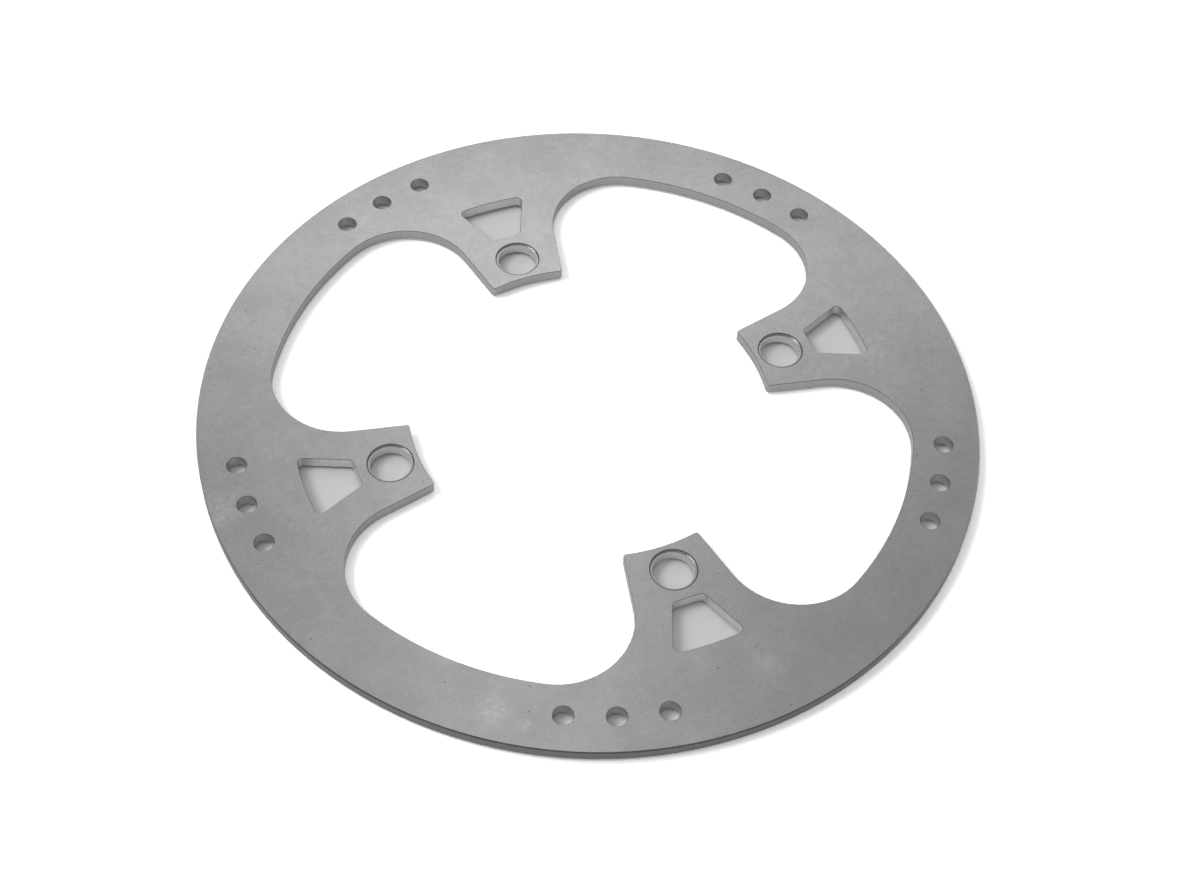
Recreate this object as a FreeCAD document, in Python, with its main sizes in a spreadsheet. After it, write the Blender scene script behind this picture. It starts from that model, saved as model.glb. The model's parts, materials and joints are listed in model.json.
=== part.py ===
import FreeCAD, Part
import math
import os

import Sketcher

# Chainring guard: a flat aluminium ring that bolts to the outside of a crank's four-arm spider
# and keeps the chain on and rocks off. It is cut from one plate.
# Four tabs reach inwards from the ring to the bolt circle. Each has a counterbored bolt seat
# and a window that saves weight. Groups of small holes lighten the rim between the tabs.
# Frame: Z is the ring's axis, the back face lies on z = 0 and the bolt seats open upwards.
# One tab points along +X. Lengths are in millimetres and angles in degrees.

DRIVING_SIZES = [
    ("plate_thickness", 3.0, "plate that the guard is cut from"),
    ("outer_diameter", 193.0, "outside of the ring"),
    ("ring_width", 16.5, "ring, from its outside to the lobes between the tabs"),
    ("rim_bevel", 0.3, "bevel round the outside of both faces"),
    ("edge_break", 0.1, "finer bevel on the other edges of both faces and at the small holes' mouths"),
    ("bolt_circle", 104.0, "pitch circle of the four-arm spider"),
    ("bolt_bore", 10.1, "clear bore for a 10 mm sleeve bolt"),
    ("seat_ledge", 0.45, "ledge round the bore, on which the bolt's head sits"),
    ("seat_depth", 0.5, "depth of that counterbored seat"),
    ("tab_count", 4, "tabs, one for each arm of the spider"),
    ("tab_width", 22.5, "tab, measured across the bolt's centre"),
    ("tab_side_angle", 12.0, "how far each side of the tab opens towards the ring"),
    ("tab_lip", 1.5, "from the bolt seat inwards to the tab's end"),
    ("tab_corner", 0.8, "rounding of the two corners at the tab's end"),
    ("tab_root", 18.0, "large fillet from the tab into the ring"),
    ("window_bridge", 2.8, "from the bolt seat outwards to the window"),
    ("window_ring_gap", 6.6, "from the window outwards to the circle of the lobes"),
    ("window_width", 7.8, "narrow side of the window, before its corners are rounded"),
    ("window_side_angle", 22.5, "how far each side of the window opens towards the ring"),
    ("window_corner", 1.4, "rounding of the window's corners, where its height has room"),
    ("hole_diameter", 4.8, "small holes in the rim"),
    ("hole_inset", 9.0, "from the ring's outside to the small holes' centres"),
    ("hole_step_angle", 7.8, "from one small hole to the next in its group"),
    ("group_holes", 3, "small holes in a group"),
    ("group_count", 5, "groups of small holes round the rim"),
]

# Formulas that more than one feature needs. A window's corners take at most a third of its height.
LOBE_RADIUS = "(Dimensions.outer_diameter / 2 - Dimensions.ring_width)"
BOLT_RADIUS = "(Dimensions.bolt_circle / 2)"
SEAT_RADIUS = "(Dimensions.bolt_bore / 2 + Dimensions.seat_ledge)"
TAB_END_RADIUS = f"({BOLT_RADIUS} - {SEAT_RADIUS} - Dimensions.tab_lip)"
TAB_ROOT_RADIUS = "(Dimensions.outer_diameter / 2 - Dimensions.ring_width / 2)"
WINDOW_NEAR = f"({BOLT_RADIUS} + {SEAT_RADIUS} + Dimensions.window_bridge)"
WINDOW_FAR = f"({LOBE_RADIUS} - Dimensions.window_ring_gap)"
WINDOW_ROUNDING = f"min(Dimensions.window_corner; ({WINDOW_FAR} - {WINDOW_NEAR}) / 3)"
HOLE_RADIUS = "(Dimensions.outer_diameter / 2 - Dimensions.hole_inset)"

# A sketch's own numbers: its points, its X axis, and the origin, which is that axis's start
START, END, CENTRE = range(1, 4)
X_AXIS = -1
ORIGIN = (X_AXIS, START)

# Two lengths are the same when they differ by less than this share
SAME = 1e-5

doc = FreeCAD.newDocument("chainring_guard")
sheet = doc.addObject("Spreadsheet::Sheet", "Dimensions")
for row, (alias, number, note) in enumerate(DRIVING_SIZES, start=1):
    sheet.set(f"A{row}", alias.replace("_", " "))
    sheet.set(f"B{row}", str(number))
    sheet.setAlias(f"B{row}", alias)
    sheet.set(f"C{row}", note)
doc.recompute()

body = doc.addObject("PartDesign::Body", "GuardPlate")
body.Label = "guard_plate"
ground = next(item for item in body.Origin.OriginFeatures if item.Role == "XY_Plane")
axis = next(item for item in body.Origin.OriginFeatures if item.Role == "Z_Axis")


def number_of(formula):
    """The number that a formula of the sheet gives now."""
    return float(sheet.evalExpression(formula))


def polar(radius, degrees):
    """The point of the XY plane at a radius and an angle from +X."""
    angle = math.radians(degrees)
    return FreeCAD.Vector(radius * math.cos(angle), radius * math.sin(angle), 0)


def new_sketch(name, height):
    """An empty sketch, level, at a height above the back face."""
    sketch = body.newObject("Sketcher::SketchObject", name)
    sketch.AttachmentSupport = [(ground, "")]
    sketch.MapMode = "FlatFace"
    sketch.setExpression("AttachmentOffset.Base.z", height)
    return sketch


def drive(sketch, name, kind, places, formula):
    """A dimension of the sketch, kept equal to a formula of the sheet."""
    number = number_of(formula)
    start = math.radians(number) if kind == "Angle" else number
    index = sketch.addConstraint(Sketcher.Constraint(kind, *places, start))
    sketch.renameConstraint(index, name)
    sketch.setExpression(f"Constraints.{name}", formula)


def join(sketch, *pairs):
    """Make the points in each pair coincide."""
    for first, second in pairs:
        sketch.addConstraint(Sketcher.Constraint("Coincident", *first, *second))


def circle(sketch, centre, radius, construction=False):
    """A full circle, returned as its index in the sketch."""
    return sketch.addGeometry(Part.Circle(centre, FreeCAD.Vector(0, 0, 1), radius), construction)


def arc(sketch, radius, first, last):
    """An arc about the origin from one angle to another, returned as its index."""
    whole = Part.Circle(FreeCAD.Vector(0, 0, 0), FreeCAD.Vector(0, 0, 1), radius)
    return sketch.addGeometry(Part.ArcOfCircle(whole, math.radians(first), math.radians(last)), False)


def line(sketch, first, last, construction=False):
    """A straight line, returned as its index."""
    return sketch.addGeometry(Part.LineSegment(first, last), construction)


def repeat(name, feature, count):
    """Copies of a feature, evenly round the axis."""
    doc.recompute()
    pattern = body.newObject("PartDesign::PolarPattern", name)
    pattern.Originals = [feature]
    pattern.Axis = (axis, [""])
    pattern.Angle = 360
    pattern.setExpression("Occurrences", count)
    pattern.Refine = True
    body.Tip = pattern
    doc.recompute()
    return pattern


def upright_edges(feature, radius):
    """Names of the upright edges at a distance from the axis."""
    names = []
    for index, edge in enumerate(feature.Shape.Edges, start=1):
        first, last = edge.firstVertex().Point, edge.lastVertex().Point
        upright = math.isclose(first.distanceToPoint(last), abs(first.z - last.z), rel_tol=SAME)
        if upright and math.isclose(math.hypot(first.x, first.y), radius, rel_tol=SAME):
            names.append(f"Edge{index}")
    return names


def face_edges(feature, round_outside):
    """Names of the edges of the plate's two faces: those round its outside, or all the others."""
    thickness = number_of("Dimensions.plate_thickness")
    outer_radius = number_of("Dimensions.outer_diameter / 2")
    names = []
    for index, edge in enumerate(feature.Shape.Edges, start=1):
        first, last = edge.firstVertex().Point, edge.lastVertex().Point
        on_back = max(first.z, last.z) < SAME
        on_front = math.isclose(min(first.z, last.z), thickness, rel_tol=SAME)
        at_rim = math.isclose(math.hypot(first.x, first.y), outer_radius, rel_tol=SAME)
        if (on_back or on_front) and at_rim == round_outside:
            names.append(f"Edge{index}")
    return names


def ease_edges(kind, name, feature, edges, size, formula):
    """A fillet or a chamfer on the named edges of a feature, with its size kept equal to a formula."""
    eased = body.newObject(f"PartDesign::{kind}", name)
    eased.Base = (feature, edges)
    eased.setExpression(size, formula)
    body.Tip = eased
    doc.recompute()
    return eased


def drill(name, sketch, cut, bore, mouth):
    """Holes through the plate at a sketch's circles, each with a wider cut at its mouth."""
    doc.recompute()
    hole = body.newObject("PartDesign::Hole", name)
    hole.Profile = sketch
    hole.DepthType = "ThroughAll"
    hole.DrillPoint = "Flat"
    hole.HoleCutType = cut
    hole.HoleCutCustomValues = True
    hole.setExpression("Diameter", bore)
    hole.setExpression("HoleCutDiameter", mouth)
    return hole


def check_removed(feature, before):
    """A cut that points away from the plate removes nothing and shows no error."""
    if not feature.Shape.Volume < before.Shape.Volume * (1 - SAME):
        raise RuntimeError(f"{feature.Label} cut nothing")


# Ring: two circles about the axis
ring_sketch = new_sketch("RingSketch", "0 mm")
outside = circle(ring_sketch, FreeCAD.Vector(0, 0, 0), number_of("Dimensions.outer_diameter / 2"))
inside = circle(ring_sketch, FreeCAD.Vector(0, 0, 0), number_of(LOBE_RADIUS))
join(ring_sketch, ((outside, CENTRE), ORIGIN), ((inside, CENTRE), ORIGIN))
drive(ring_sketch, "outside", "Diameter", (outside,), "Dimensions.outer_diameter")
drive(ring_sketch, "inside", "Diameter", (inside,), f"2 * {LOBE_RADIUS}")
ring = body.newObject("PartDesign::Pad", "Ring")
ring.Profile = ring_sketch
ring.setExpression("Length", "Dimensions.plate_thickness")
doc.recompute()

# Tab along +X: flared sides from a root line inside the ring to an end that is hollowed
# about the axis. A construction line across the bolt's centre sets the width there.
tab_slope = math.tan(math.radians(number_of("Dimensions.tab_side_angle")))
tab_half = number_of("Dimensions.tab_width / 2")
bolt_x = number_of(BOLT_RADIUS)
root_x = number_of(TAB_ROOT_RADIUS)
root_half = tab_half + tab_slope * (root_x - bolt_x)
end_radius = number_of(TAB_END_RADIUS)
end_half = tab_half - tab_slope * (bolt_x - end_radius)
end_angle = math.degrees(math.asin(end_half / end_radius))

tab_sketch = new_sketch("TabSketch", "0 mm")
lower_root = FreeCAD.Vector(root_x, -root_half, 0)
upper_root = FreeCAD.Vector(root_x, root_half, 0)
lower_side = line(tab_sketch, polar(end_radius, -end_angle), lower_root)
root_line = line(tab_sketch, lower_root, upper_root)
upper_side = line(tab_sketch, polar(end_radius, end_angle), upper_root)
end_arc = arc(tab_sketch, end_radius, -end_angle, end_angle)
across_bolt = line(
    tab_sketch,
    FreeCAD.Vector(bolt_x, -tab_half, 0),
    FreeCAD.Vector(bolt_x, tab_half, 0),
    construction=True,
)
join(
    tab_sketch,
    ((lower_side, END), (root_line, START)),
    ((upper_side, END), (root_line, END)),
    ((end_arc, START), (lower_side, START)),
    ((end_arc, END), (upper_side, START)),
    ((end_arc, CENTRE), ORIGIN),
)
tab_sketch.addConstraint(
    [
        Sketcher.Constraint("Symmetric", root_line, START, root_line, END, X_AXIS),
        Sketcher.Constraint("Equal", lower_side, upper_side),
        Sketcher.Constraint("PointOnObject", across_bolt, START, lower_side),
        Sketcher.Constraint("PointOnObject", across_bolt, END, upper_side),
        Sketcher.Constraint("Vertical", across_bolt),
    ]
)
drive(tab_sketch, "root", "DistanceX", (*ORIGIN, root_line, START), TAB_ROOT_RADIUS)
drive(tab_sketch, "end", "Radius", (end_arc,), TAB_END_RADIUS)
drive(tab_sketch, "bolt", "DistanceX", (*ORIGIN, across_bolt, START), BOLT_RADIUS)
drive(tab_sketch, "width", "DistanceY", (across_bolt, START, across_bolt, END), "Dimensions.tab_width")
drive(tab_sketch, "flare", "Angle", (upper_side,), "Dimensions.tab_side_angle")
tab = body.newObject("PartDesign::Pad", "Tab")
tab.Profile = tab_sketch
tab.setExpression("Length", "Dimensions.plate_thickness")
tabs = repeat("Tabs", tab, "Dimensions.tab_count")

# The tabs run into the ring in large fillets, and their end corners are eased
lobe_radius = number_of(LOBE_RADIUS)
root_edges = upright_edges(tabs, lobe_radius)
tab_roots = ease_edges("Fillet", "TabRoots", tabs, root_edges, "Radius", "Dimensions.tab_root")
corner_edges = upright_edges(tab_roots, end_radius)
tab_corners = ease_edges(
    "Fillet", "TabCorners", tab_roots, corner_edges, "Radius", "Dimensions.tab_corner"
)

# Window in each tab: straight on the bolt's side, slanted sides, and an arc on the ring's side
near_x = number_of(WINDOW_NEAR)
far_radius = number_of(WINDOW_FAR)
near_half = number_of("Dimensions.window_width / 2")
window_slope = math.radians(number_of("Dimensions.window_side_angle"))
# A slanted side starts at (near_x, near_half) and ends where it meets the far circle
along = near_x * math.cos(window_slope) + near_half * math.sin(window_slope)
side_length = math.sqrt(along**2 - near_x**2 - near_half**2 + far_radius**2) - along
far_half = near_half + side_length * math.sin(window_slope)
far_angle = math.degrees(math.asin(far_half / far_radius))

window_sketch = new_sketch("WindowSketch", "Dimensions.plate_thickness")
lower_near = FreeCAD.Vector(near_x, -near_half, 0)
upper_near = FreeCAD.Vector(near_x, near_half, 0)
near_line = line(window_sketch, lower_near, upper_near)
lower_slant = line(window_sketch, lower_near, polar(far_radius, -far_angle))
upper_slant = line(window_sketch, upper_near, polar(far_radius, far_angle))
far_arc = arc(window_sketch, far_radius, -far_angle, far_angle)
join(
    window_sketch,
    ((near_line, START), (lower_slant, START)),
    ((near_line, END), (upper_slant, START)),
    ((far_arc, START), (lower_slant, END)),
    ((far_arc, END), (upper_slant, END)),
    ((far_arc, CENTRE), ORIGIN),
)
window_sketch.addConstraint(
    [
        Sketcher.Constraint("Symmetric", near_line, START, near_line, END, X_AXIS),
        Sketcher.Constraint("Equal", lower_slant, upper_slant),
    ]
)
drive(window_sketch, "near", "DistanceX", (*ORIGIN, near_line, START), WINDOW_NEAR)
drive(window_sketch, "far", "Radius", (far_arc,), WINDOW_FAR)
drive(window_sketch, "width", "DistanceY", (near_line, START, near_line, END), "Dimensions.window_width")
drive(window_sketch, "flare", "Angle", (upper_slant,), "Dimensions.window_side_angle")
window = body.newObject("PartDesign::Pocket", "Window")
window.Profile = window_sketch
window.Type = "ThroughAll"
windows = repeat("Windows", window, "Dimensions.tab_count")
check_removed(windows, tab_corners)
near_corner = math.hypot(near_x, near_half)
window_edges = upright_edges(windows, near_corner) + upright_edges(windows, far_radius)
window_corners = ease_edges(
    "Fillet", "WindowCorners", windows, window_edges, "Radius", WINDOW_ROUNDING
)

# Bolt seat in each tab: a clear bore, and a counterbore whose ledge takes the bolt's head
bolt_sketch = new_sketch("BoltSketch", "Dimensions.plate_thickness")
bore = circle(bolt_sketch, FreeCAD.Vector(bolt_x, 0, 0), number_of("Dimensions.bolt_bore / 2"))
bolt_sketch.addConstraint(Sketcher.Constraint("PointOnObject", bore, CENTRE, X_AXIS))
drive(bolt_sketch, "bolt", "DistanceX", (*ORIGIN, bore, CENTRE), BOLT_RADIUS)
drive(bolt_sketch, "bore", "Diameter", (bore,), "Dimensions.bolt_bore")
seat = drill("BoltSeat", bolt_sketch, "Counterbore", "Dimensions.bolt_bore", f"2 * {SEAT_RADIUS}")
seat.setExpression("HoleCutDepth", "Dimensions.seat_depth")
seats = repeat("BoltSeats", seat, "Dimensions.tab_count")
check_removed(seats, window_corners)

# The edges that both faces have so far are broken: finely, apart from a wider bevel round the outside
inner_edges = face_edges(seats, round_outside=False)
edges_broken = ease_edges("Chamfer", "EdgesBroken", seats, inner_edges, "Size", "Dimensions.edge_break")
check_removed(edges_broken, seats)
rim_edges = face_edges(edges_broken, round_outside=True)
rim_bevelled = ease_edges("Chamfer", "RimBevel", edges_broken, rim_edges, "Size", "Dimensions.rim_bevel")
check_removed(rim_bevelled, edges_broken)

# Small holes: one group, centred half a group's share round from the +X tab, on a pitch circle.
# They are drilled last, from the front, and a countersink breaks the edge of each mouth.
group_holes = int(number_of("Dimensions.group_holes"))
hole_radius = number_of(HOLE_RADIUS)
hole_sketch = new_sketch("RimHoleSketch", "Dimensions.plate_thickness")
pitch = circle(hole_sketch, FreeCAD.Vector(0, 0, 0), hole_radius, construction=True)
join(hole_sketch, ((pitch, CENTRE), ORIGIN))
drive(hole_sketch, "pitch", "Radius", (pitch,), HOLE_RADIUS)
for index in range(group_holes):
    steps = index - (group_holes - 1) / 2
    bearing = f"180 / Dimensions.group_count + {steps} * Dimensions.hole_step_angle"
    centre = polar(hole_radius, number_of(bearing))
    spoke = line(hole_sketch, FreeCAD.Vector(0, 0, 0), centre, construction=True)
    hole = circle(hole_sketch, centre, number_of("Dimensions.hole_diameter / 2"))
    join(hole_sketch, ((spoke, START), ORIGIN), ((spoke, END), (hole, CENTRE)))
    hole_sketch.addConstraint(Sketcher.Constraint("PointOnObject", hole, CENTRE, pitch))
    drive(hole_sketch, f"bearing_{index}", "Angle", (spoke,), bearing)
    drive(hole_sketch, f"hole_{index}", "Diameter", (hole,), "Dimensions.hole_diameter")
hole_mouth = "Dimensions.hole_diameter + 2 * Dimensions.edge_break"
rim_group = drill("RimHoleGroup", hole_sketch, "Countersink", "Dimensions.hole_diameter", hole_mouth)
rim_group.HoleCutCountersinkAngle = 90  # the same slope as the bevels
rim_holes = repeat("RimHoles", rim_group, "Dimensions.group_count")
check_removed(rim_holes, rim_bevelled)

for item in doc.Objects:
    if {"Invalid", "Error"} & set(item.State):
        raise RuntimeError(f"{item.Label} failed: {item.State}")
if body.Shape.isNull() or not body.Shape.isValid() or len(body.Shape.Solids) != 1:
    raise RuntimeError(f"{body.Label} is not one valid solid")

os.makedirs("parts", exist_ok=True)
body.Shape.exportStep(f"parts/{body.Label}.step")
print(f"{body.Label}: {body.Shape.Volume / 1000:.2f} cm3, {len(body.Shape.Faces)} faces")
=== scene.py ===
# %% [markdown]
# A chainring guard is a flat ring that bolts to a bicycle's crank beside the chain. This one was cut
# from 3 mm aluminium plate, so the whole object is a single piece of metal. Its form comes ready-made
# from the CAD model, and this lesson gives it a camera, a finish, a floor and light. Everything is in
# metres, in the CAD model's own frame: the ring's axis is Z, and its back face lies at Z = 0.

# %% Load the plate
import json
import math

import bpy
from mathutils import Matrix, Vector


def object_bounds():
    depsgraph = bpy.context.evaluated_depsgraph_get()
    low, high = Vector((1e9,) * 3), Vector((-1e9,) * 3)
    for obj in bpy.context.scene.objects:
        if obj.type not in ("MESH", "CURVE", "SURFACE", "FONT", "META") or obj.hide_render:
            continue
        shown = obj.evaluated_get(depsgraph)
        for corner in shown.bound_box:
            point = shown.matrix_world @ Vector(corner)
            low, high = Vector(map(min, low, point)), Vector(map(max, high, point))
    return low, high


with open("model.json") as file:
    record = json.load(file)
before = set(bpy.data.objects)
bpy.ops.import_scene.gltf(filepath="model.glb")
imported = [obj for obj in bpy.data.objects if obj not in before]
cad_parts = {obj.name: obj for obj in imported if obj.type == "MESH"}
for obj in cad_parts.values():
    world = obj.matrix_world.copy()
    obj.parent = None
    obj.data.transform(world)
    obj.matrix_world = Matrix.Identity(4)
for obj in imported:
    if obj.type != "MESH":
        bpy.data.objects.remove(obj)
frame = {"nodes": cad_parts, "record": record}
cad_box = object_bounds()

MM = 0.001
scene = bpy.context.scene
guard = frame["nodes"]["guard_plate"]
OUTER_RADIUS = cad_box[1][0]
FACE_HEIGHT = cad_box[1][2]
BOLT_RADIUS = frame["record"]["mounts"][0]["dims"]["pcd_mm"] / 2 * MM
print("guard_plate:", len(guard.data.vertices), "vertices")
print("outer radius", round(OUTER_RADIUS / MM, 2), "mm, bolts at", round(BOLT_RADIUS / MM, 2), "mm")

# %% [markdown]
# The camera looks from where the photograph was taken: in front of the guard, a little to its left, and
# down at just over fifty degrees from less than half a metre away. A camera can be placed by eye, but
# the four bolt seats have known places, so the values below were worked out from them. The position
# follows from a target on the plate, two angles and a distance, and the roll is a small tilt of the hand.

# %% Camera
LENS_MM = 57.25
CAMERA_TARGET = Vector((-2.39, -11.96, 3.0)) * MM
CAMERA_DISTANCE = 465.65 * MM
CAMERA_AZIMUTH = math.radians(-25.23)
CAMERA_ELEVATION = math.radians(52.77)
CAMERA_ROLL = math.radians(4.1)
NEAREST_SEEN = 10 * MM

level = Vector((-math.sin(CAMERA_AZIMUTH), math.cos(CAMERA_AZIMUTH), 0))
ahead = level * math.cos(CAMERA_ELEVATION) - Vector((0, 0, math.sin(CAMERA_ELEVATION)))
level_right = level.cross(Vector((0, 0, 1)))
level_up = level_right.cross(ahead)
right = level_right * math.cos(CAMERA_ROLL) + level_up * math.sin(CAMERA_ROLL)
up = right.cross(ahead)

lens = bpy.data.cameras.new("photo_camera")
lens.lens = LENS_MM
lens.clip_start = NEAREST_SEEN
camera = bpy.data.objects.new("photo_camera", lens)
camera.matrix_world = (
    Matrix.Translation(CAMERA_TARGET - ahead * CAMERA_DISTANCE)
    @ Matrix((right, up, -ahead)).transposed().to_4x4()
)
scene.collection.objects.link(camera)
scene.camera = camera
print("camera at", [round(x / MM, 1) for x in camera.matrix_world.translation], "mm")

# %% [markdown]
# Every material below is a small graph of nodes. Adding a node, setting its values and joining its
# inputs takes many lines in plain Blender code, so one helper does all three. An input may be given a
# plain value or the output of another node, and the helper tells the two apart. Colours are written as
# sRGB hex, as a paint program shows them, and turned to the linear values that the renderer works with.

# %% Helpers for materials
# The Mix node has one set of sockets for numbers and another for colours, which only differ in index.
FACTOR, NUMBER_A, NUMBER_B, COLOUR_A, COLOUR_B = 0, 2, 3, 6, 7
COLOUR_OUT = 2


def linear(hex_colour):
    """The linear RGBA of an sRGB hex colour such as #B4B4B2."""
    parts = [int(hex_colour[i:i + 2], 16) / 255 for i in (1, 3, 5)]
    return [c / 12.92 if c <= 0.04045 else ((c + 0.055) / 1.055) ** 2.4 for c in parts] + [1.0]


def add(tree, kind, inputs=(), output=0, **settings):
    """Adds a node with its settings, fills or joins its inputs, and gives one output, or all for None."""
    node = tree.nodes.new(kind)
    for name, value in settings.items():
        setattr(node, name, value)
    for name, value in dict(inputs).items():
        if isinstance(value, bpy.types.NodeSocket):
            tree.links.new(value, node.inputs[name])
        else:
            node.inputs[name].default_value = value
    return node.outputs if output is None else node.outputs[output]


def per_mm(size_mm):
    """The texture scale at which a pattern's features measure about this many millimetres."""
    return 1 / (size_mm * MM)


def empty_material(name):
    """A node material with nothing in it yet, and its tree."""
    material = bpy.data.materials.new(name)
    material.use_nodes = True
    material.node_tree.nodes.clear()
    return material, material.node_tree


print("#B4B4B2 is", [round(c, 3) for c in linear("#B4B4B2")], "in linear light")

# %% [markdown]
# The guard is bare aluminium with a satin skin, left by tumbling the cut plate among ceramic stones.
# Tumbling leaves no lines: the eye gets a soft grey sheen with a fine grain, and a faint mottle where
# the skin differs from place to place. One noise can't be fine and broad at once, so three noises of
# different size are added by weight, and their sum picks a grey between a dull and a bright one. Each
# noise averages a half, so the middle of the sum is half of all the weights.

# %% Satin aluminium: grain and mottle
SATIN_DULL = "#AEAEAD"
SATIN_BRIGHT = "#BABAB8"
CLOUD_MM, CLOUD_SHARE = 11.0, 0.50
MOTTLE_MM, MOTTLE_SHARE = 2.5, 0.26
GRAIN_MM, GRAIN_SHARE = 0.45, 0.52  # the real grain is under 0.1 mm, and is drawn coarser to show
SKIN_DETAIL = 2.0
TONE_REACH = 0.15

satin, tree = empty_material("tumbled_satin_aluminium")
place = add(tree, "ShaderNodeTexCoord", output="Object")
skin_noises = ((CLOUD_MM, CLOUD_SHARE), (MOTTLE_MM, MOTTLE_SHARE), (GRAIN_MM, GRAIN_SHARE))
tone = 0.0
for size_mm, share in skin_noises:
    noise = add(
        tree, "ShaderNodeTexNoise",
        {"Vector": place, "Scale": per_mm(size_mm), "Detail": SKIN_DETAIL},
    )
    tone = add(tree, "ShaderNodeMath", {0: noise, 1: share, 2: tone}, operation="MULTIPLY_ADD")
grain = noise
middle = sum(share for size_mm, share in skin_noises) / 2
tone = add(
    tree, "ShaderNodeMapRange",
    {"Value": tone, "From Min": middle - TONE_REACH, "From Max": middle + TONE_REACH},
)
skin = add(
    tree, "ShaderNodeMix",
    {FACTOR: tone, COLOUR_A: linear(SATIN_DULL), COLOUR_B: linear(SATIN_BRIGHT)},
    COLOUR_OUT, data_type="RGBA",
)
print("skin of three noises:", CLOUD_MM, MOTTLE_MM, GRAIN_MM, "mm")

# %% [markdown]
# A guard that has been handled and stacked has lighter patches where its skin was rubbed. They could be
# painted on an image, but an image needs a layout of the surface, and these patches are few. So three
# of them have a place and a radius of their own, broken up by a fine noise, and a broad noise adds
# fainter ones all over, on the back as well.

# %% Satin aluminium: rubbed patches
RUB_COLOUR = "#CFCFCD"
RUB_MM = 22.0
RUB_DETAIL, RUB_ROUGHNESS = 5.0, 0.7
RUB_START, RUB_FULL, RUB_MOST = 0.60, 0.80, 0.6
SPECK_MM = 1.4
SPECK_START, SPECK_FULL = 0.25, 0.75
RUB_SPOTS_MM = ((-93.5, 0.0, 8.0), (-52.2, -71.9, 5.6), (-46.6, -78.1, 2.4))  # x, y and radius

rub = add(
    tree, "ShaderNodeTexNoise",
    {"Vector": place, "Scale": per_mm(RUB_MM), "Detail": RUB_DETAIL, "Roughness": RUB_ROUGHNESS},
)
rub = add(
    tree, "ShaderNodeMapRange",
    {"Value": rub, "From Min": RUB_START, "From Max": RUB_FULL, "To Max": RUB_MOST},
)
specks = add(tree, "ShaderNodeTexNoise", {"Vector": place, "Scale": per_mm(SPECK_MM)})
specks = add(
    tree, "ShaderNodeMapRange", {"Value": specks, "From Min": SPECK_START, "From Max": SPECK_FULL},
)
for x, y, radius in RUB_SPOTS_MM:
    centre = (x * MM, y * MM, FACE_HEIGHT)
    away = add(tree, "ShaderNodeVectorMath", {0: place, 1: centre}, "Value", operation="DISTANCE")
    spot = add(
        tree, "ShaderNodeMapRange", {"Value": away, "From Min": radius * MM, "From Max": 0.0},
        interpolation_type="SMOOTHSTEP",
    )
    spot = add(tree, "ShaderNodeMath", {0: spot, 1: specks}, operation="MULTIPLY")
    rub = add(tree, "ShaderNodeMath", {0: rub, 1: spot}, operation="MAXIMUM")
skin = add(
    tree, "ShaderNodeMix", {FACTOR: rub, COLOUR_A: skin, COLOUR_B: linear(RUB_COLOUR)},
    COLOUR_OUT, data_type="RGBA",
)
print(len(RUB_SPOTS_MM), "rubbed patches with a place of their own")

# %% [markdown]
# Fine scratches catch the light as short pale hairs. Each could be a thin mesh or a painted stroke, but
# there are many, and no one of them matters. So a noise is stretched far along one direction, and only
# its highest peaks are kept.

# %% Satin aluminium: scratches
SCRATCH_COLOUR = "#CCCCCA"
SCRATCH_TURN = math.radians(35)
SCRATCH_LENGTH_MM = 7.0
SCRATCH_MM = 0.16  # a real one is a few hundredths wide, and is drawn coarser to show
SCRATCH_DETAIL = 0.0
SCRATCH_START, SCRATCH_FULL, SCRATCH_MOST = 0.76, 0.84, 0.6

lengthwise = add(
    tree, "ShaderNodeMapping",
    {"Vector": place, "Rotation": (0, 0, SCRATCH_TURN),
     "Scale": (per_mm(SCRATCH_LENGTH_MM), per_mm(SCRATCH_MM), 1)},
)
scratch = add(tree, "ShaderNodeTexNoise", {"Vector": lengthwise, "Scale": 1.0, "Detail": SCRATCH_DETAIL})
scratch = add(
    tree, "ShaderNodeMapRange",
    {"Value": scratch, "From Min": SCRATCH_START, "From Max": SCRATCH_FULL, "To Max": SCRATCH_MOST},
)
skin = add(
    tree, "ShaderNodeMix", {FACTOR: scratch, COLOUR_A: skin, COLOUR_B: linear(SCRATCH_COLOUR)},
    COLOUR_OUT, data_type="RGBA",
)
print("scratches", SCRATCH_LENGTH_MM, "mm long")

# %% [markdown]
# A few pits in the skin show as dark specks. A Voronoi pattern divides the plane into cells, and gives
# the distance to the middle of each one, where a pit can sit. Each cell also has a random colour, which
# decides whether it has a pit at all.

# %% Satin aluminium: pits
PIT_COLOUR = "#5C5B58"
PIT_CELL_MM = 14.0
PIT_MM = 0.25
PIT_CORE = 0.4
PIT_CHANCE_LOW, PIT_CHANCE_HIGH = 0.55, 0.75

cells = add(
    tree, "ShaderNodeTexVoronoi", {"Vector": place, "Scale": per_mm(PIT_CELL_MM)}, None,
    voronoi_dimensions="2D",
)
pit_edge = PIT_MM / PIT_CELL_MM
pit = add(
    tree, "ShaderNodeMapRange",
    {"Value": cells["Distance"], "From Min": pit_edge, "From Max": PIT_CORE * pit_edge},
)
chance = add(tree, "ShaderNodeSeparateXYZ", {"Vector": cells["Color"]}, "X")
chance = add(
    tree, "ShaderNodeMapRange",
    {"Value": chance, "From Min": PIT_CHANCE_LOW, "From Max": PIT_CHANCE_HIGH},
)
pit = add(tree, "ShaderNodeMath", {0: pit, 1: chance}, operation="MULTIPLY")
skin = add(
    tree, "ShaderNodeMix", {FACTOR: pit, COLOUR_A: skin, COLOUR_B: linear(PIT_COLOUR)},
    COLOUR_OUT, data_type="RGBA",
)
print("pits in cells of", PIT_CELL_MM, "mm")

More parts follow.
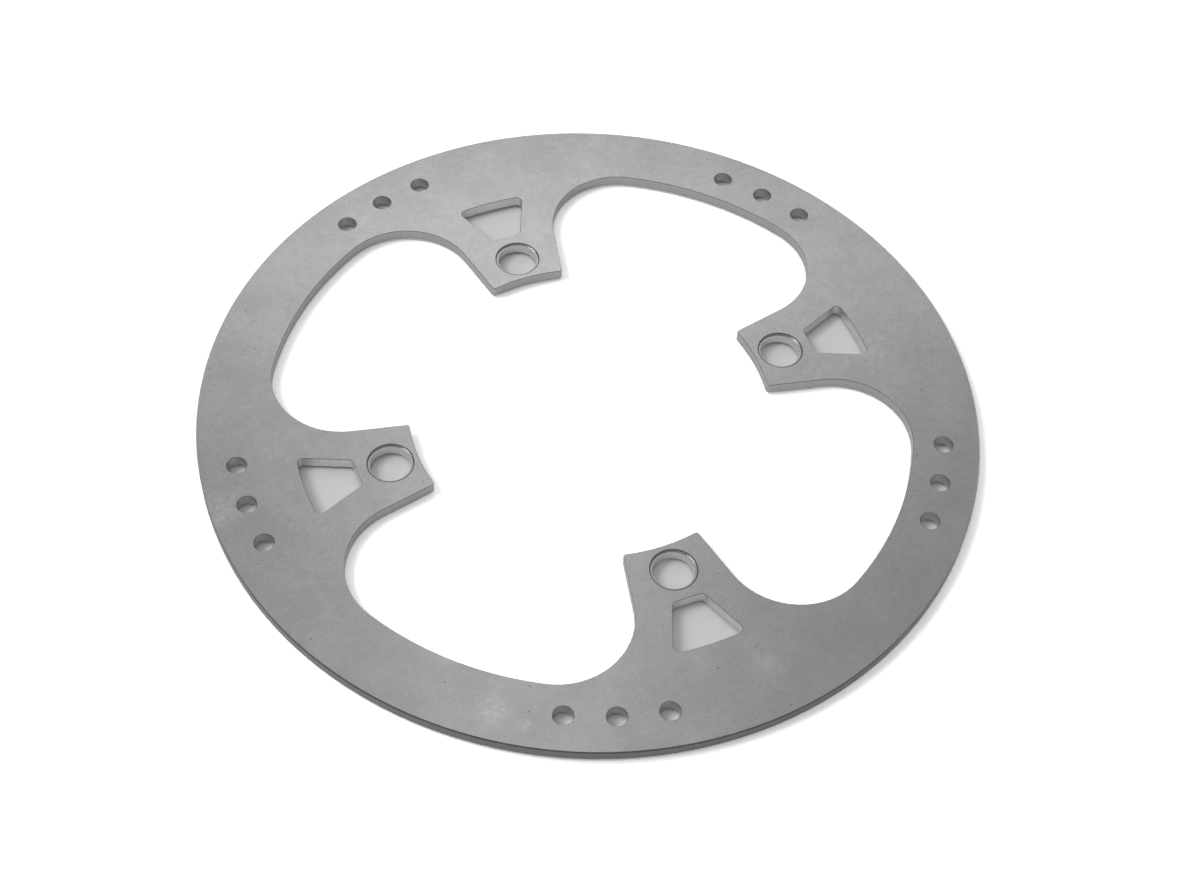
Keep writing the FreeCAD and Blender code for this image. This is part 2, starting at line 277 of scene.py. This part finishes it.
# %% [markdown]
# Each bolt seat is a shallow counterbore, and a dark line of painted shade lies round its sharp mouth,
# where the step falls in shadow. Four rings could be four sets of nodes. But the tabs repeat at every
# quarter turn, so the place is folded: of |x| and |y|, the larger is the way out along a tab and the
# smaller the way across it. One ring round a single bolt axis then shows up at all four.

# %% Satin aluminium: painted shade round each bolt seat
SEAT_SHADE_COLOUR = "#5A5A58"
SEAT_MOUTH_MM = 5.62
SEAT_LINE_MM = 0.24  # the real line is about half as wide, and is drawn coarser to show
SEAT_LINE_CORE = 0.4
SEAT_LINE_MOST = 0.9

folded = add(tree, "ShaderNodeVectorMath", {0: place}, operation="ABSOLUTE")
sides = add(tree, "ShaderNodeSeparateXYZ", {"Vector": folded}, None)
out_along = add(tree, "ShaderNodeMath", {0: sides["X"], 1: sides["Y"]}, operation="MAXIMUM")
out_across = add(tree, "ShaderNodeMath", {0: sides["X"], 1: sides["Y"]}, operation="MINIMUM")
folded_place = add(tree, "ShaderNodeCombineXYZ", {"X": out_along, "Y": out_across})
from_bolt = add(
    tree, "ShaderNodeVectorMath", {0: folded_place, 1: (BOLT_RADIUS, 0, 0)}, "Value",
    operation="DISTANCE",
)
off_line = add(tree, "ShaderNodeMath", {0: from_bolt, 1: SEAT_MOUTH_MM * MM}, operation="SUBTRACT")
off_line = add(tree, "ShaderNodeMath", {0: off_line}, operation="ABSOLUTE")
# Painted shade: a dark line at each seat's mouth, where the step falls in shadow.
seat_shade = add(
    tree, "ShaderNodeMapRange",
    {"Value": off_line, "From Min": SEAT_LINE_MM * MM, "From Max": SEAT_LINE_CORE * SEAT_LINE_MM * MM,
     "To Max": SEAT_LINE_MOST},
)
skin = add(
    tree, "ShaderNodeMix", {FACTOR: seat_shade, COLOUR_A: skin, COLOUR_B: linear(SEAT_SHADE_COLOUR)},
    COLOUR_OUT, data_type="RGBA",
)
print("seat line at", SEAT_MOUTH_MM, "mm from each bolt axis")

# %% [markdown]
# The walls of the plate were cut by a mill, which leaves upright marks, as the cutter stands upright
# while it goes round. The eye gets fine stripes across the edge and a rougher gloss than on the face.
# The Z of the normal, without its sign, says how flat a place lies: 1 on the face, and 0 on a wall. So
# one material can hold both finishes. The marks are a noise that is fine along the wall and very long
# in Z.

# %% Milled walls: marks
MILLED_DULL = "#D6D6D4"
MILLED_BRIGHT = "#ECECEA"
MARK_MM = 0.35  # real marks are about 0.1 mm apart, and are drawn coarser to show
MARK_LENGTH_MM = 40.0
MARK_DETAIL = 1.0
WALL_START, WALL_FULL = 0.6, 0.3

normal = add(tree, "ShaderNodeTexCoord", output="Normal")
flatness = add(tree, "ShaderNodeSeparateXYZ", {"Vector": normal}, "Z")
flatness = add(tree, "ShaderNodeMath", {0: flatness}, operation="ABSOLUTE")
wall = add(
    tree, "ShaderNodeMapRange", {"Value": flatness, "From Min": WALL_START, "From Max": WALL_FULL},
)
upright = add(
    tree, "ShaderNodeMapping",
    {"Vector": place, "Scale": (per_mm(MARK_MM), per_mm(MARK_MM), per_mm(MARK_LENGTH_MM))},
)
marks = add(tree, "ShaderNodeTexNoise", {"Vector": upright, "Scale": 1.0, "Detail": MARK_DETAIL})
cut = add(
    tree, "ShaderNodeMix",
    {FACTOR: marks, COLOUR_A: linear(MILLED_DULL), COLOUR_B: linear(MILLED_BRIGHT)},
    COLOUR_OUT, data_type="RGBA",
)
print("mill marks", MARK_MM, "mm wide")

# %% [markdown]
# Every edge of the plate was broken with a small bevel. The bevels are darkened to a share of the
# face's tone, a painted shade that the eye reads as a thin dark line round the openings and along the
# rim. A bevel's normal lies halfway between those of face and wall, so the flatness that finds the
# walls finds the bevels as well.

# %% Broken edges: painted shade on the bevels
EDGE_SHADE = 0.42
EDGE_START, EDGE_FULL = 0.97, 0.85

# Painted shade: the bevels are darkened to a share of the face's tone.
edge = add(
    tree, "ShaderNodeMapRange",
    {"Value": flatness, "From Min": EDGE_START, "From Max": EDGE_FULL,
     "To Min": 1.0, "To Max": EDGE_SHADE},
)
skin = add(tree, "ShaderNodeVectorMath", {0: skin, "Scale": edge}, operation="SCALE")
print("bevels at", EDGE_SHADE, "of the face's tone")

# %% [markdown]
# The walls are given shares of the milled colour by their place, a painted shade that stands in for
# what each kind of wall mirrors. The windows and bolt bores in the tabs keep the whole colour, the rim
# holes are a little darker, the open outline darker still, and the outer rim the darkest. Each kind of
# wall is told by its place, and a later mask in the list wins over an earlier one.

# %% Milled walls: painted shade by place
OUTLINE_SHADE = 0.34
TAB_OPENING_SHADE = 1.0
RIM_HOLE_SHADE = 0.78
RIM_SHADE = 0.15
SEAT_REACH_MM = 5.8
TAB_HALF_MM = 9.8
RING_WIDTH_MM = 16.5
RIM_DEPTH_MM = 4.5

tab_end = BOLT_RADIUS - SEAT_REACH_MM * MM
ring_start = OUTER_RADIUS - RING_WIDTH_MM * MM
rim_start = OUTER_RADIUS - RIM_DEPTH_MM * MM
beyond = add(tree, "ShaderNodeMath", {0: out_along, 1: tab_end}, operation="GREATER_THAN")
between = add(tree, "ShaderNodeMath", {0: out_across, 1: TAB_HALF_MM * MM}, operation="LESS_THAN")
in_tab = add(tree, "ShaderNodeMath", {0: beyond, 1: between}, operation="MULTIPLY")
from_axis = add(tree, "ShaderNodeVectorMath", {0: folded_place}, "Value", operation="LENGTH")
in_ring = add(tree, "ShaderNodeMath", {0: from_axis, 1: ring_start}, operation="GREATER_THAN")
on_rim = add(tree, "ShaderNodeMath", {0: from_axis, 1: rim_start}, operation="GREATER_THAN")
# Painted shade: each kind of wall gets its own share of the milled colour by its place.
shade = OUTLINE_SHADE
for mask, share in ((in_tab, TAB_OPENING_SHADE), (in_ring, RIM_HOLE_SHADE), (on_rim, RIM_SHADE)):
    shade = add(tree, "ShaderNodeMix", {FACTOR: mask, NUMBER_A: shade, NUMBER_B: share})
cut = add(tree, "ShaderNodeVectorMath", {0: cut, "Scale": shade}, operation="SCALE")
print("ring from", round(ring_start / MM, 1), "mm, rim from", round(rim_start / MM, 1), "mm")

# %% [markdown]
# Face and wall now come together in one metal. Aluminium is a metal all over, so Metallic is 1 and the
# index of refraction stays at its default. The face's roughness is that of a satin skin, and the wall's
# is higher. A bump of a few microns lets the grain and the mill marks stir the reflections.

# %% The finished metal
SATIN_ROUGHNESS = 0.255
WALL_ROUGHNESS = 0.45
RELIEF_MM = 0.008

colour = add(
    tree, "ShaderNodeMix", {FACTOR: wall, COLOUR_A: skin, COLOUR_B: cut}, COLOUR_OUT, data_type="RGBA",
)
roughness = add(
    tree, "ShaderNodeMapRange", {"Value": wall, "To Min": SATIN_ROUGHNESS, "To Max": WALL_ROUGHNESS},
)
height = add(tree, "ShaderNodeMix", {FACTOR: wall, NUMBER_A: grain, NUMBER_B: marks})
relief = add(tree, "ShaderNodeBump", {"Height": height, "Distance": RELIEF_MM * MM})
metal = add(
    tree, "ShaderNodeBsdfPrincipled",
    {"Base Color": colour, "Metallic": 1.0, "Roughness": roughness, "Normal": relief},
)
add(tree, "ShaderNodeOutputMaterial", {"Surface": metal}, None)
guard.data.materials.clear()
guard.data.materials.append(satin)
print(satin.name, "of", len(tree.nodes), "nodes on", guard.name)

# %% [markdown]
# The guard lies on white paper, which should be white to the camera, and in the metal too, without more
# light on the guard. So the paper's tone is higher for rays from the camera, and for rays that a glossy
# surface or glass sends on, than for light that only bounces off it. It is still a matt surface, so it
# keeps the guard's shadow. Far from the guard it fades to plain white, which hides its edge.

# %% Paper
PAPER_TONE = 0.80
PAPER_TONE_SEEN = 2.1
FADE_START = 0.25
FADE_END = 0.60
WHITE = 1.0
TAB_SHADE_SHARE = 0.40
RING_SHADE_SHARE = 0.48


def paper(name, share):
    """A matt paper that shows as this share of the studio's white wherever the light falls on it whole."""
    material, tree = empty_material(name)
    rays = add(tree, "ShaderNodeLightPath", output=None)
    seen = rays["Is Camera Ray"]
    for kind in ("Is Glossy Ray", "Is Transmission Ray"):
        seen = add(tree, "ShaderNodeMath", {0: seen, 1: rays[kind]}, operation="MAXIMUM")
    tone = add(
        tree, "ShaderNodeMapRange",
        {"Value": seen, "To Min": PAPER_TONE * share, "To Max": PAPER_TONE_SEEN * share},
    )
    matt = add(tree, "ShaderNodeBsdfDiffuse", {"Color": tone})
    place = add(tree, "ShaderNodeTexCoord", output="Object")
    away = add(tree, "ShaderNodeVectorMath", {0: place}, "Value", operation="LENGTH")
    far = add(tree, "ShaderNodeMapRange", {"Value": away, "From Min": FADE_START, "From Max": FADE_END})
    far = add(tree, "ShaderNodeMath", {0: far, 1: seen}, operation="MULTIPLY")
    white = add(tree, "ShaderNodeEmission", {"Strength": WHITE})
    surface = add(tree, "ShaderNodeMixShader", {0: far, 1: matt, 2: white})
    add(tree, "ShaderNodeOutputMaterial", {"Surface": surface}, None)
    print(name, "with", len(tree.nodes), "nodes")
    return material


white_paper = paper("matt_white_paper", share=1.0)
# Painted shade: two greyer papers stand for the shaded ground seen through the openings.
tab_shade_paper = paper("painted_shade_under_tabs", share=TAB_SHADE_SHARE)
ring_shade_paper = paper("painted_shade_under_ring", share=RING_SHADE_SHARE)

# %% [markdown]
# A plate never lies quite flat, so the paper is a little below its back, which gives the thin dark line
# at the foot of each wall. Seen through the windows, bores and rim holes the ground is a pale grey, as
# the plate takes most of the room's light from it. That shade is painted: flat grey pieces lie under the
# tabs and under the ring, where nothing but those openings shows them. All of it is stage, not part of
# the object.

# %% Floor and painted shade under the openings
FLOOR_SIDE = 4.0
FLOOR_DROP = 0.65 * MM
SHADE_PIECE_DROP = 0.60 * MM
TAB_SHADE_START_MM = 5.6
TAB_SHADE_END_MM = 21.1
TAB_SHADE_HALVES_MM = (8.6, 12.0)
RING_SHADE_INSETS_MM = (13.5, 3.5)
RING_STEPS = 96
TABS = 4


def flat_piece(name, faces, height, material):
    """Flat four-cornered faces in one mesh, lying at this height, as part of the stage."""
    mesh = bpy.data.meshes.new(name)
    corners = [corner for face in faces for corner in face]
    mesh.from_pydata(corners, [], [range(4 * i, 4 * i + 4) for i in range(len(faces))])
    mesh.materials.append(material)
    piece = bpy.data.objects.new(name, mesh)
    piece.location.z = height
    scene.collection.objects.link(piece)
    print(name, "of", len(faces), "faces")


def turned(corners, angle):
    """The corners after a turn by this angle about the ring's axis."""
    turn = Matrix.Rotation(angle, 3, "Z")
    return [turn @ Vector((x, y, 0)) for x, y in corners]


half = FLOOR_SIDE / 2
floor_corners = ((-half, -half), (half, -half), (half, half), (-half, half))
flat_piece("floor", [turned(floor_corners, 0)], -FLOOR_DROP, white_paper)

# Painted shade: grey pieces under the tabs and the ring darken the ground in the openings.
near, far = BOLT_RADIUS - TAB_SHADE_START_MM * MM, OUTER_RADIUS - TAB_SHADE_END_MM * MM
narrow, wide = (half_mm * MM for half_mm in TAB_SHADE_HALVES_MM)
tab_shade_piece = ((near, -narrow), (far, -wide), (far, wide), (near, narrow))
tab_faces = [turned(tab_shade_piece, math.tau * tab / TABS) for tab in range(TABS)]
flat_piece("tab_shade_pieces", tab_faces, -SHADE_PIECE_DROP, tab_shade_paper)

inner, outer = (OUTER_RADIUS - inset * MM for inset in RING_SHADE_INSETS_MM)
step = math.tan(math.pi / RING_STEPS)
ring_shade_piece = ((inner, -inner * step), (outer, -outer * step), (outer, outer * step), (inner, inner * step))
ring_faces = [turned(ring_shade_piece, math.tau * k / RING_STEPS) for k in range(RING_STEPS)]
flat_piece("ring_shade_piece", ring_faces, -SHADE_PIECE_DROP, ring_shade_paper)

# %% [markdown]
# Metal looks like what it mirrors, so the light is set by what the face should show. From the camera the
# face mirrors the part of the room behind the guard. A tall softbox and a low wide one stand there, and
# give the soft bright bands that run over the ring. A third stands on the left, a little to the back.
# The face doesn't mirror it, but it lights the ground in the openings and throws the short soft shadows.
# A lamp's power follows from its size and from how bright it should be to look at.

# %% Softboxes
LAMP_DISTANCE = 2.0


def direction(azimuth, elevation):
    """The unit vector towards this azimuth and elevation, in degrees."""
    a, e = math.radians(azimuth), math.radians(elevation)
    return Vector((math.cos(e) * math.cos(a), math.cos(e) * math.sin(a), math.sin(e)))


def softbox(name, azimuth, elevation, width, height, radiance):
    """An area lamp that looks at the guard from this direction and is as bright as this to look at."""
    towards = direction(azimuth, elevation)
    lamp = bpy.data.lights.new(name, "AREA")
    lamp.shape = "RECTANGLE"
    lamp.size = width
    lamp.size_y = height
    lamp.energy = radiance * math.pi * width * height
    box = bpy.data.objects.new(name, lamp)
    box.location = towards * LAMP_DISTANCE
    box.rotation_euler = towards.to_track_quat("Z", "Y").to_euler()
    box.visible_camera = False
    scene.collection.objects.link(box)
    print(name, "gives", round(lamp.energy, 2), "W")


softbox("tall_back_softbox", azimuth=70, elevation=66, width=0.39, height=1.65, radiance=0.49)
softbox("low_back_softbox", azimuth=69, elevation=46, width=1.14, height=0.21, radiance=1.06)
softbox("left_softbox", azimuth=158, elevation=52, width=0.8, height=0.8, radiance=5.8)

# %% [markdown]
# The rest of the light comes from the room itself. It is brighter behind the guard than on the camera's
# side, so the face is bright to the camera while the bevels and walls that turn to it stay darker. A
# gradient between the two does this without walls or furniture. To the camera the room is plain white,
# and the metal mirrors that white as a low backdrop all round.

# %% Room
ROOM_BACK = 0.46
ROOM_FRONT = 0.36
ROOM_BRIGHTEST = direction(azimuth=108, elevation=66)
ROOM_LOW, ROOM_HIGH = 0.10, 0.85
BACKDROP_TOP, BACKDROP_FULL = 0.30, 0.08

world = bpy.data.worlds.new("studio")
world.use_nodes = True
scene.world = world
tree = world.node_tree
tree.nodes.clear()
rays = add(tree, "ShaderNodeLightPath", output=None)
outwards = add(tree, "ShaderNodeTexCoord", output="Generated")
turned_back = add(
    tree, "ShaderNodeVectorMath", {0: outwards, 1: ROOM_BRIGHTEST}, "Value", operation="DOT_PRODUCT",
)
room = add(
    tree, "ShaderNodeMapRange",
    {"Value": turned_back, "From Min": ROOM_LOW, "From Max": ROOM_HIGH,
     "To Min": ROOM_FRONT, "To Max": ROOM_BACK},
    interpolation_type="SMOOTHSTEP",
)
rise = add(tree, "ShaderNodeSeparateXYZ", {"Vector": outwards}, "Z")
white = add(
    tree, "ShaderNodeMapRange", {"Value": rise, "From Min": BACKDROP_TOP, "From Max": BACKDROP_FULL},
)
mirrored = add(
    tree, "ShaderNodeMath", {0: rays["Is Glossy Ray"], 1: rays["Is Transmission Ray"]},
    operation="MAXIMUM",
)
white = add(tree, "ShaderNodeMath", {0: white, 1: mirrored}, operation="MULTIPLY")
white = add(tree, "ShaderNodeMath", {0: white, 1: rays["Is Camera Ray"]}, operation="MAXIMUM")
strength = add(tree, "ShaderNodeMix", {FACTOR: white, NUMBER_A: room, NUMBER_B: WHITE})
glow = add(tree, "ShaderNodeBackground", {"Color": (1, 1, 1, 1), "Strength": strength})
add(tree, "ShaderNodeOutputWorld", {"Surface": glow}, None)
print("room from", ROOM_FRONT, "in front to", ROOM_BACK, "behind")

# %% [markdown]
# The Standard view transform shows a colour as it was written.

# %% Finish
scene.view_settings.view_transform = "Standard"
